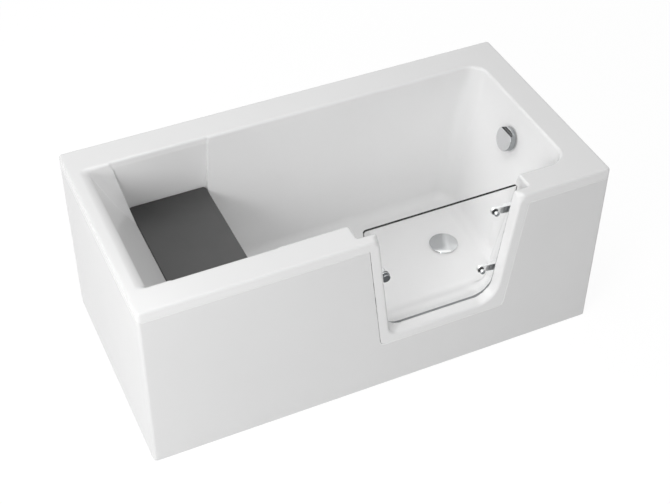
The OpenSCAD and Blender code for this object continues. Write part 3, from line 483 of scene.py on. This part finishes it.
# The panels stand under the lip and round the frame, and the holes' backs are open.
points, triangles = cut_away(points, triangles, casing_level)
along, reach = from_overflow(points)
triangles = triangles[~((along < -HOLE_DEPTH) & (reach < OVERFLOW_HOLE + 8))[triangles].all(1)]
used = np.unique(triangles)
renumber = np.full(len(points), -1)
renumber[used] = np.arange(len(used))
points, triangles = points[used], renumber[triangles]
rough_mesh = bpy.data.meshes.new("shell_grid")
rough_mesh.from_pydata(points.tolist(), [], triangles.tolist())
rough = bpy.data.objects.new("shell_grid", rough_mesh)
scene.collection.objects.link(rough)
thin = rough.modifiers.new("thin", "DECIMATE")
thin.ratio = KEPT_SHARE
thin.use_collapse_triangulate = True
thinned = rough.evaluated_get(bpy.context.evaluated_depsgraph_get()).to_mesh()
points = np.array([corner.co for corner in thinned.vertices], float)
triangles = np.array([face.vertices for face in thinned.polygons])
bpy.data.objects.remove(rough)
points, outward = settle(points)
# The back of the sheet lies 6 mm behind its face, and a rim of faces closes every edge.
count = len(points)
edges = np.concatenate([triangles[:, [i, (i + 1) % 3]] for i in range(3)])
keys = edges[:, 0] * count + edges[:, 1]
open_edges = edges[~np.isin(edges[:, 1] * count + edges[:, 0], keys)]
rims = np.column_stack([open_edges[:, 1], open_edges[:, 0],
                        open_edges[:, 0] + count, open_edges[:, 1] + count])
shell_points = np.concatenate([points, points - SKIN * outward]) / 1000
shell_faces = triangles.tolist() + (triangles[:, ::-1] + count).tolist() + rims.tolist()
shell = piece("acrylic_shell", shell_points, shell_faces, "bath", ["bath_shell"],
              [acrylic])
shell.data.normals_split_custom_set_from_vertices(np.concatenate([outward, -outward]).tolist())


# ---- Front and end panel ----------------------------------------------------------------------
# White capped sheet, 4 mm thick, folded round the corners and cut out round the door's frame. The
# front panel's top and cut-out are routed round and polished; their thin light line is a painted
# highlight.


def body_name(node):
    """The frame's body that a CAD node belongs to."""
    return nodes[node].parent.name.split(":")[1]


def weigh_normals(mesh):
    """Lets large faces lead the shading, so that flats stay flat between eased edges."""
    spots = np.empty(len(mesh.loops), int)
    mesh.loops.foreach_get("vertex_index", spots)
    sizes = np.empty(len(mesh.polygons), int)
    mesh.polygons.foreach_get("loop_total", sizes)
    areas = np.empty(len(mesh.polygons))
    mesh.polygons.foreach_get("area", areas)
    facing = np.empty(3 * len(mesh.polygons))
    mesh.polygons.foreach_get("normal", facing)
    pull = np.repeat(facing.reshape(-1, 3) * areas[:, None]**2, sizes, axis=0)
    total = np.zeros((len(mesh.vertices), 3))
    np.add.at(total, spots, pull)
    length = np.maximum(np.linalg.norm(total, axis=1, keepdims=True), 1e-30)
    mesh.normals_split_custom_set_from_vertices((total / length).tolist())


def eased(name, node, rounds, materials, pick=None, reshape=None, clamp=True):
    """A piece in a CAD node's form with its edges eased as a made piece has them; sizes in mm.

    rounds holds (radius, steps, where), and where(x, y, z) of an edge's middle picks the edges.
    pick(centre, normal) of a face gives the index of its material. reshape(x, y, z) moves points.
    clamp=False keeps radii of 1 mm and more in full where short edges would narrow them.
    """
    form = bmesh.new()
    form.from_mesh(nodes[node].data)
    form.transform(Matrix.Scale(1000, 4) @ nodes[node].matrix_world)
    bmesh.ops.remove_doubles(form, verts=form.verts, dist=0.01)
    bmesh.ops.dissolve_limit(form, angle_limit=math.radians(1), verts=form.verts, edges=form.edges)
    if reshape:
        for corner in form.verts:
            corner.co = reshape(*corner.co)
    for radius, steps, where in rounds:
        chosen = [edge for edge in form.edges if len(edge.link_faces) == 2
                  and edge.calc_face_angle() > math.radians(40)
                  and (where is None or where(*((edge.verts[0].co + edge.verts[1].co) / 2)))]
        bmesh.ops.bevel(form, geom=chosen, offset=radius, segments=steps, profile=0.5,
                        affect="EDGES", clamp_overlap=clamp or radius < 1)
    form.normal_update()
    kinds = [pick(face.calc_center_median(), face.normal) if pick else 0 for face in form.faces]
    points = [corner.co / 1000 for corner in form.verts]
    faces = [[corner.index for corner in face.verts] for face in form.faces]
    form.free()
    made = piece(name, points, faces, body_name(node), [node], materials, kinds)
    weigh_normals(made.data)
    return made


# A satin white cap layer: the same white as the bath, but its colour is set a little darker as
# painted shade; it has broader highlights.
panel_cap_painted_shade = finish_material("white_capped_sheet", "E7E7E7", "E2E2E2", 300, (0.28, 0.34), 0.05, 70,
                            IOR=1.49)
# The routed edge is polished, and painted near white as a highlight, so that it shows as a light
# line.
cut_edge = finish_material("polished_sheet_edge", "FDFDFD", "F8F8F8", 60, (0.08, 0.14), IOR=1.49)
SOLID_GAP, PANEL_GAP = 2.0, 0.45         # the solid's joint and the seen one, in mm
PANEL_ROUND = 3.2
SLOPE_STEP = 0.1                         # for the outline's slope


def nearer_panel(x, y, z):
    """Brings the panel's top and its cut-out up to the thin joint that is seen on the bath."""
    if y < FRONT_FACE + 10:
        if abs(z - LIP_FOOT + SOLID_GAP) < 0.1:
            z = LIP_FOOT - PANEL_GAP
        outside = frame_outline(x, z)
        if 0.5 < outside < SOLID_GAP + 1:
            side = frame_outline(x + SLOPE_STEP, z) - outside
            down = frame_outline(x, z - SLOPE_STEP) - outside
            x -= (outside - PANEL_GAP) * side / SLOPE_STEP
            z += (outside - PANEL_GAP) * down / SLOPE_STEP
    elif z > LIP_FOOT - 1 and x < -BATH_LENGTH / 2 + 20:
        z = LIP_FOOT - PANEL_GAP
    return x, y, z


def routed(x, y, z):
    """The edges of the front panel's face at its top and cut-out, not at its foot and corners."""
    return z > 1 and y < FRONT_FACE + 0.1 and abs(x) < BATH_LENGTH / 2 - 15


def is_cut_edge(centre, facing):
    """1 for the faces of the routed edge's round, which is polished and carries the painted
    highlight.
    """
    return int(centre.y < FRONT_FACE + 3.5 and -0.99 < facing.y < -0.05
               and abs(centre.x) < BATH_LENGTH / 2 - 15)


eased("front_panel_sheet", "front_panel", [(PANEL_ROUND, 4, routed), (0.3, 1, None)],
      [panel_cap_painted_shade, cut_edge], pick=is_cut_edge, reshape=nearer_panel, clamp=False)
eased("end_panel_sheet", "end_panel", [(0.5, 2, None)], [panel_cap_painted_shade], reshape=nearer_panel)

# ---- Seal round the doorway -------------------------------------------------------------------
# A grey rubber profile stuck on the wall face behind the doorway. The leaf presses on its lip.
# Dull rubber with a fine tooth, darker than the bath round it.
seal_rubber = finish_material("grey_epdm_rubber", "86888A", "7A7C7D", 20, (0.5, 0.65), 0.05, 1.5)
LIP_SIDE = -326                          # beyond it, towards the leaf, the lip has a larger round
SEAL_TOP = 603


def seen_seal(x, y, z):
    """The seal's hinge side stands 4 mm further out and its ends lie lower, as seen."""
    return x + 4 * ease(x, 340, 385), y, min(z, SEAL_TOP)


eased("doorway_seal", "door_seal", [(2.5, 4, lambda x, y, z: y > LIP_SIDE), (0.6, 2, None)],
      [seal_rubber], reshape=seen_seal)
# The dark rubber of gaskets and pads.
rubber = finish_material("black_epdm_rubber", "3A3B3C", "303132", 20, (0.5, 0.65), 0.05, 1.5)

# ---- Glass leaf -------------------------------------------------------------------------------
# Clear toughened glass, 8 mm, its edges ground flat with narrow chamfers. Light that enters the
# sheet leaves by its edges, so from above an edge looks nearly black.
glass = bpy.data.materials.new("clear_toughened_glass")
tree, output = bare_tree(glass)
pane = add_node(tree, "BsdfPrincipled",
                {"Base Color": linear("FEFEFE"), "Roughness": 0.0, "IOR": 1.45,
                 "Transmission Weight": 1.0})
clear = add_node(tree, "BsdfTransparent", {"Color": linear("FCFCFC")})
shadow = add_node(tree, "LightPath").outputs["Is Shadow Ray"]
both = add_node(tree, "MixShader", {}, {0: shadow, 1: pane.outputs[0], 2: clear.outputs[0]})
tree.links.new(both.outputs[0], output.inputs["Surface"])
# The ground edge: grey-green and almost black, with a faint streak along the grinding.
glass_edge = finish_material("ground_glass_edge", "0C0E0E", "161919", 60, (0.2, 0.3), 0.02, 4)
eased("glass_leaf", "door_glass", [(0.6, 1, None)], [glass, glass_edge],
      pick=lambda centre, facing: 0 if abs(facing.y) > 0.9 else 1)

# ---- Hinges -----------------------------------------------------------------------------------
# Cast and polished brass under chrome. A bracket with two ears stands on the wall face, its pin
# carries the arm, and a cap with a bolt clamps the glass to the arm between rubber gaskets.


def chrome_painted_reflection_finish(name, sky, level, ground, rough):
    """Bright plating whose colour is a painted reflection of a pale ceiling and a dark room: light
    above, dark below.
    """
    made = bpy.data.materials.new(name)
    tree, output = bare_tree(made)
    # The colour follows how far each face looks up and back: a painted reflection.
    facing = add_node(tree, "NewGeometry").outputs["Normal"]
    lean = add_node(tree, "VectorMath", {"operation": "DOT_PRODUCT", 1: (-0.25, 0.35, 0.9)},
                    {0: facing})
    share = add_node(tree, "MapRange", {"From Min": -1.0, "From Max": 1.0},
                     {"Value": lean.outputs["Value"]})
    bands = add_node(tree, "ValToRGB", {}, {"Fac": share.outputs[0]})
    marks = bands.color_ramp.elements
    marks[0].position, marks[0].color = 0.18, linear(ground)
    marks[1].position, marks[1].color = 0.92, linear(sky)
    middle = marks.new(0.55)
    middle.color = linear(level)
    smears = add_node(tree, "TexNoise", {"Scale": 60.0, "Detail": 3.0},
                      {"Vector": add_node(tree, "TexCoord").outputs["Object"]})
    gloss = add_node(tree, "MapRange", {"To Min": rough[0], "To Max": rough[1]},
                     {"Value": smears.outputs[0]})
    plate = add_node(tree, "BsdfPrincipled", {"Metallic": 1.0},
                     {"Base Color": bands.outputs[0], "Roughness": gloss.outputs[0]})
    tree.links.new(plate.outputs[0], output.inputs["Surface"])
    return made


# Mirror-bright plating with a painted reflection: nearly white above, dark below.
chrome = chrome_painted_reflection_finish("chrome_plate", "E4E6E7", "A6A9AB", "66696B", (0.07, 0.13))
# The arms carry a painted reflection of the white wall face beside them, so they are nearly white on
# all sides.
arm_painted_reflection = chrome_painted_reflection_finish("wall_lit_chrome_plate", "F6F7F7", "F2F3F3", "DCDEDF", (0.1, 0.18))
for place in ("upper", "lower"):
    eased(place + "_bracket", place + "_hinge_bracket", [(1.2, 3, None)], [chrome])
    eased(place + "_pin", place + "_hinge_pin", [(0.3, 2, None)], [chrome])
    eased(place + "_arm", place + "_hinge_arm", [(1.5, 3, None)], [arm_painted_reflection])
    eased(place + "_cap", place + "_hinge_clamp", [(0.4, 2, None)], [chrome])
# Thin dull rubber between metal and glass.
eased("clamp_gaskets", "hinge_gaskets", [(0.3, 1, None)], [rubber])

# ---- Latch ------------------------------------------------------------------------------------
# A turned knob outside, a ribbed grip inside and a flat tongue on one spindle through the glass.
# The tongue turns behind a keep on the side of the door's recess.
# The knob's face is darker than the hinges, a painted dark reflection, and a little rougher.
latch_knob_painted_reflection = chrome_painted_reflection_finish("handled_chrome_plate", "D5D7D8", "6A6D6F", "424446", (0.12, 0.2))
eased("outer_knob", "latch_knob", [(0.4, 2, None)], [latch_knob_painted_reflection])
eased("spindle_collar", "latch_bush", [(0.4, 2, None)], [chrome])
eased("turning_tongue", "latch_tongue", [(0.6, 2, None)], [chrome])
eased("inner_grip", "latch_grip", [(0.6, 2, None)], [chrome])
eased("keep_angle", "latch_keep", [(0.8, 2, None)], [chrome])

# ---- Seat -------------------------------------------------------------------------------------
# A board moulded in charcoal polyurethane foam with a closed skin: soft corners and edges, a fine
# leather-like grain. It lies on two ledges on rubber pads and lifts straight out.
seat_skin = finish_material("charcoal_polyurethane", "454545", "3D3D3D", 90, (0.4, 0.5), 0.06, 1.4)
tree = seat_skin.node_tree
base = tree.nodes["Principled BSDF"]
# The skin is painted lighter towards the open side and darker at the back left: a painted sheen.
place = add_node(tree, "SeparateXYZ", {}, {0: add_node(tree, "TexCoord").outputs["Object"]})
across = add_node(tree, "Math", {"operation": "MULTIPLY_ADD", 1: -0.35},
                  {0: place.outputs["Y"], 2: place.outputs["X"]})
painted_sheen_level = add_node(tree, "MapRange", {"From Min": -0.60, "From Max": -0.30,
                                   "To Min": 0.72, "To Max": 1.3}, {"Value": across.outputs[0]})
sheen_lightened = add_node(tree, "VectorMath", {"operation": "SCALE"},
                 {0: base.inputs["Base Color"].links[0].from_socket, "Scale": painted_sheen_level.outputs[0]})
tree.links.new(sheen_lightened.outputs[0], base.inputs["Base Color"])
# Board and pads are narrower than the solids by as much as the recess is.
SEAT_SHARE, PAD_SHIFT = 0.984, 4.4
eased("moulded_seat", "seat_board", [(4.0, 4, None)], [seat_skin],
      reshape=lambda x, y, z: (x, MIDDLE_Y + (y - MIDDLE_Y) * SEAT_SHARE, z))
eased("seat_pad_strips", "seat_pads", [(0.6, 2, None)], [rubber],
      reshape=lambda x, y, z: (x, y - math.copysign(PAD_SHIFT, y - MIDDLE_Y), z))

# ---- Waste control ----------------------------------------------------------------------------
# The knob on the end wall is a chromed casting with a slanting finger flat. It turns on a face
# plate whose neck holds the body behind the wall.


def knob_chrome():
    """Chrome with a painted reflection of the end wall: a light face and grey sides."""
    made = bpy.data.materials.new("knob_chrome")
    tree, output = bare_tree(made)
    # The colour follows how far each face looks along the knob's axis: a painted reflection.
    facing = add_node(tree, "VectorMath", {"operation": "DOT_PRODUCT", 1: OVERFLOW_AXIS},
                      {0: add_node(tree, "NewGeometry").outputs["Normal"]})
    bands = add_node(tree, "ValToRGB", {}, {"Fac": facing.outputs["Value"]})
    marks = bands.color_ramp.elements
    marks[0].position, marks[0].color = 0.0, linear("A2A5A7")
    marks[1].position, marks[1].color = 1.0, linear("F0F1F2")
    for spot, tone in ((0.4, "B4B6B8"), (0.6, "8E9193"), (0.8, "8E9193"), (0.93, "E6E8E9")):
        marks.new(spot).color = linear(tone)
    metal = add_node(tree, "BsdfPrincipled", {"Metallic": 1.0, "Roughness": 0.1},
                     {"Base Color": bands.outputs[0]})
    tree.links.new(metal.outputs[0], output.inputs["Surface"])
    return made


# The step of the finger flat is nearly black with what it mirrors, so that dark reflection is
# painted on it as a dark finish of its own, which isn't set up as a metal.
flat_step_painted_reflection = finish_material("chrome_in_shade", "1C1D1E", "252627", 30, (0.2, 0.3), IOR=1.3)
KNOB_UP = (OVERFLOW_AXIS[2], 0.0, -OVERFLOW_AXIS[0])  # square to the knob's axis
STEP_HEIGHT = 27                         # of the flat's step over the knob's middle


def is_flat_step(centre, facing):
    """1 for the faces of the step, which look up from beside the knob's middle."""
    height = (centre - Vector(OVERFLOW)).dot(KNOB_UP)
    return int(facing.dot(KNOB_UP) > 0.95 and abs(height - STEP_HEIGHT) < 1.5)


eased("control_knob", "overflow_knob", [(0.8, 3, None)], [knob_chrome(), flat_step_painted_reflection],
      pick=is_flat_step)
# Smooth pale plastic, moulded, with a soft even shine.
pvc = finish_material("pale_pvc", "D9DADB", "CDCED0", 40, (0.3, 0.4), 0.03, 2)
eased("control_face_plate", "overflow_plate", [(0.5, 2, None)], [pvc])
eased("overflow_chamber", "overflow_body", [(0.8, 2, None)], [pvc])
eased("chamber_gasket", "overflow_gasket", [(0.4, 2, None)], [rubber])

# ---- Waste in the floor -----------------------------------------------------------------------
# A low dome, spun from brass sheet and chromed, stands on a stem over the whole flange. It lifts
# when the knob is turned; the cast flange is clamped to the floor from below.


def spun_cover_painted_reflection():
    """Spun and polished chrome: a painted reflection in two tones on the dome, a painted highlight
    on the edge, painted shade on the rim.

    The tones meet on a line that runs back and to the right through the middle. Edge and rim are
    painted lighter and darker by how far they face the front left.
    """
    made = bpy.data.materials.new("spun_chrome")
    tree, output = bare_tree(made)
    place = add_node(tree, "TexCoord").outputs["Object"]
    # The dome's two tones are a painted reflection.
    across = add_node(tree, "VectorMath", {"operation": "DOT_PRODUCT", 1: (0.912, -0.41, 0)},
                      {0: place})
    fan = add_node(tree, "MapRange", {"From Min": 0.366, "From Max": 0.384},
                   {"Value": across.outputs["Value"]})
    colour = add_node(tree, "Mix", {"data_type": "RGBA", 6: linear("B2B4B6"), 7: linear("D4D6D7")},
                      {0: fan.outputs[0]})
    front = add_node(tree, "VectorMath", {"operation": "DOT_PRODUCT", 1: (-0.41, -0.912, 0)},
                     {0: add_node(tree, "NewGeometry").outputs["Normal"]})
    # A painted highlight on the edge, and painted shade on the rim.
    for start, end, tone in ((0.12, 0.15, "F8F9F9"), (0.4, 0.6, "3E4042")):
        share = add_node(tree, "MapRange", {"From Min": start, "From Max": end},
                         {"Value": front.outputs["Value"]})
        colour = add_node(tree, "Mix", {"data_type": "RGBA", 7: linear(tone)},
                          {0: share.outputs[0], 6: colour.outputs[2]})
    metal = add_node(tree, "BsdfPrincipled", {"Metallic": 1.0, "Roughness": 0.14},
                     {"Base Color": colour.outputs[2]})
    tree.links.new(metal.outputs[0], output.inputs["Surface"])
    return made


eased("pop_up_cover", "waste_cover", [(0.6, 2, None)], [spun_cover_painted_reflection()])
eased("floor_flange", "waste_flange", [(0.5, 2, None)], [chrome])

# ---- Pipes under the bath ---------------------------------------------------------------------
# Plastic tube and moulded bends, pushed into their collars: the overflow's pipe runs down behind
# the end wall to the cup under the waste, and the trap leads to the wall side.
for name, node in (("overflow_tube", "overflow_pipe"), ("pipe_bend", "waste_elbow"),
                   ("level_tube", "waste_link"), ("waste_cup", "waste_body"),
                   ("trap_and_outlet", "drain_trap")):
    eased(name, node, [(0.6, 2, None)], [pvc])
# The cable that lifts the cover, in a smooth black sheath.
sheath = finish_material("black_nylon", "202021", "1A1A1B", 10, (0.35, 0.5), 0.03, 1.5)
eased("cable_sheath", "control_cable", [(0.3, 1, None)], [sheath])

# ---- Boards -----------------------------------------------------------------------------------
# Birch plywood, bonded to the moulding with resin: sawn edges show their plies, and the faces
# have long grain.


def plywood(name, faces, light, dark):
    """Plywood; its faces have grain along X, and its sawn edges show level plies 1.4 mm thick."""
    made = bpy.data.materials.new(name)
    tree, output = bare_tree(made)
    place = add_node(tree, "TexCoord").outputs["Object"]
    if faces:
        stretched = add_node(tree, "Mapping", {"Scale": (1.0, 14.0, 14.0)}, {"Vector": place})
        bands = add_node(tree, "TexNoise", {"Scale": 9.0, "Detail": 6.0, "Distortion": 0.6},
                         {"Vector": stretched.outputs[0]})
    else:
        bands = add_node(tree, "TexWave", {"bands_direction": "Z", "Scale": 114.0,
                                           "Distortion": 1.2, "Detail": 2.0}, {"Vector": place})
    colour = add_node(tree, "Mix", {"data_type": "RGBA", 6: linear(light), 7: linear(dark)},
                      {0: bands.outputs[0]})
    relief = add_node(tree, "Bump", {"Distance": 0.0002}, {"Height": bands.outputs[0]})
    wood = add_node(tree, "BsdfPrincipled", {"Roughness": 0.7},
                    {"Base Color": colour.outputs[2], "Normal": relief.outputs[0]})
    tree.links.new(wood.outputs[0], output.inputs["Surface"])
    return made


birch_face = plywood("birch_plywood_face", True, "D8BC8E", "B99663")
birch_edge = plywood("birch_plywood_edge", False, "CDAE7C", "8F6C3F")
for name, node in (("floor_board", "base_board"), ("rim_strips", "rim_battens")):
    eased(name, node, [(0.8, 2, None)], [birch_face, birch_edge],
          pick=lambda centre, facing: 0 if abs(facing.z) > 0.7 else 1)

# ---- Frame ------------------------------------------------------------------------------------
# Square steel tube, 25 mm, welded up and galvanised: rails and posts on crossbars. The panel's
# clips are bent from sheet and bolted to the ends of the crossbars.
# Zinc in dull grey flakes, some lighter and some darker.
zinc = finish_material("galvanised_steel", "B4B8BA", "8D9194", 9, (0.32, 0.5), 0.03, 5,
                       Metallic=0.85)
for name, node in (("long_rails", "frame_rails"), ("crossbars", "frame_crossbars"),
                   ("corner_posts", "rim_posts")):
    eased(name, node, [(2.0, 3, None)], [zinc])
eased("panel_clip_angles", "panel_clips", [(0.5, 2, None)], [zinc])

# ---- Levelling feet ---------------------------------------------------------------------------
# A black nylon pad on a threaded steel stud, with a nut under and over each crossbar. The bath is
# levelled by them when it is set up.


def thread_material():
    """Zinc-plated thread, 1.75 mm pitch: light crests with painted shade in the roots between them.
    """
    made = bpy.data.materials.new("zinc_plated_thread")
    tree, output = bare_tree(made)
    place = add_node(tree, "TexCoord").outputs["Object"]
    turns = add_node(tree, "TexWave", {"bands_direction": "Z", "Scale": 91.0}, {"Vector": place})
    colour = add_node(tree, "Mix", {"data_type": "RGBA", 6: linear("5E6163"), 7: linear("B9BCBE")},
                      {0: turns.outputs[0]})
    relief = add_node(tree, "Bump", {"Distance": 0.0006}, {"Height": turns.outputs[0]})
    metal = add_node(tree, "BsdfPrincipled", {"Metallic": 0.9, "Roughness": 0.35},
                     {"Base Color": colour.outputs[2], "Normal": relief.outputs[0]})
    tree.links.new(metal.outputs[0], output.inputs["Surface"])
    return made


nylon = finish_material("moulded_nylon", "232324", "1B1B1C", 12, (0.45, 0.6), 0.05, 1.2)
thread = thread_material()
PAD_TOP = 14.2                           # the pad's height, with a hair above it for its edge
eased("feet_and_studs", "levelling_feet", [(0.8, 2, None)], [nylon, thread],
      pick=lambda centre, facing: int(centre.z > PAD_TOP))
eased("lock_nuts", "foot_locknuts", [(0.6, 2, None)], [zinc])
